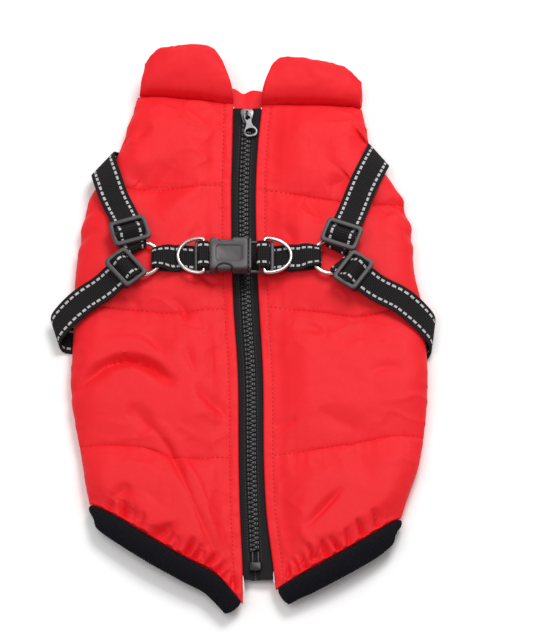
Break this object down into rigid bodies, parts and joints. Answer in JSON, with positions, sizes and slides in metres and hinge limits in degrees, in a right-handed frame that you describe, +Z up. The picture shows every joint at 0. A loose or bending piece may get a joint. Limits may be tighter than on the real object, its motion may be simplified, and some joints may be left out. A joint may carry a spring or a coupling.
{
  "type": "dog winter coat",
  "caption": "Padded sleeveless coat for a small dog, zipped down the back, with a stand collar, rib-bound hem and a webbing harness with a side-release buckle, laid flat.",
  "frame": {"origin": "on the ground under the middle of the whole coat, as it lies flat on its belly", "axes": "+Y from the hem to the neck, +X to the wearer's right as the back is seen from above, +Z up out of the back"},
  "size_m": [0.2582, 0.4218, 0.0307],
  "materials": {
    "shell": "semi-matte red nylon",
    "rib": "black rib knit",
    "zip_tape": "woven polyester tape",
    "zip_plastic": "moulded, satin",
    "zip_metal": "grey plated die casting",
    "webbing": "woven, with two light reflective lines",
    "ring_metal": "polished nickel plate",
    "plastic": "moulded, satin"
  },
  "bodies": {
    "coat": {"back_left": "shell", "back_right": "shell", "belly_panel": "shell", "collar_left": "shell", "collar_right": "shell", "collar_throat": "shell", "hem_binding_left": "rib", "hem_binding_right": "rib", "belly_binding": "rib", "leg_binding_left": "rib", "leg_binding_right": "rib", "zip_tape_left": "zip_tape", "zip_tape_right": "zip_tape", "zip_chain": "zip_plastic", "zip_box": "zip_plastic", "zip_slider": "zip_metal", "strap_upper_left": "webbing", "strap_upper_right": "webbing", "strap_lower_left": "webbing", "strap_lower_right": "webbing", "chest_strap": "webbing", "girth_strap": "webbing", "strap_middle_left": "webbing", "strap_middle_right": "webbing", "ring_left": "ring_metal", "ring_right": "ring_metal", "adjuster_upper_left": "plastic", "adjuster_upper_right": "plastic", "adjuster_lower_left": "plastic", "adjuster_lower_right": "plastic", "buckle_socket": "plastic", "buckle_clip": "plastic"},
    "pull": {"zip_pull": "zip_metal"},
    "lead_ring_left": {"d_ring_left": "ring_metal"},
    "lead_ring_right": {"d_ring_right": "ring_metal"}
  },
  "joints": [
    {"name": "pull_hinge", "type": "hinge", "parent": "coat", "child": "pull", "pos_m": [0.00256, 0.16554, 0.0121], "axis": [-0.9816, -0.1908, 0], "range_deg": [0, 150]},
    {"name": "lead_ring_hinge_left", "type": "hinge", "parent": "coat", "child": "lead_ring_left", "pos_m": [-0.02651, 0.05184, 0.02365], "axis": [0, 1, 0], "range_deg": [0, 105]},
    {"name": "lead_ring_hinge_right", "type": "hinge", "parent": "coat", "child": "lead_ring_right", "pos_m": [0.01419, 0.05184, 0.02365], "axis": [0, -1, 0], "range_deg": [0, 105]}
  ]
}
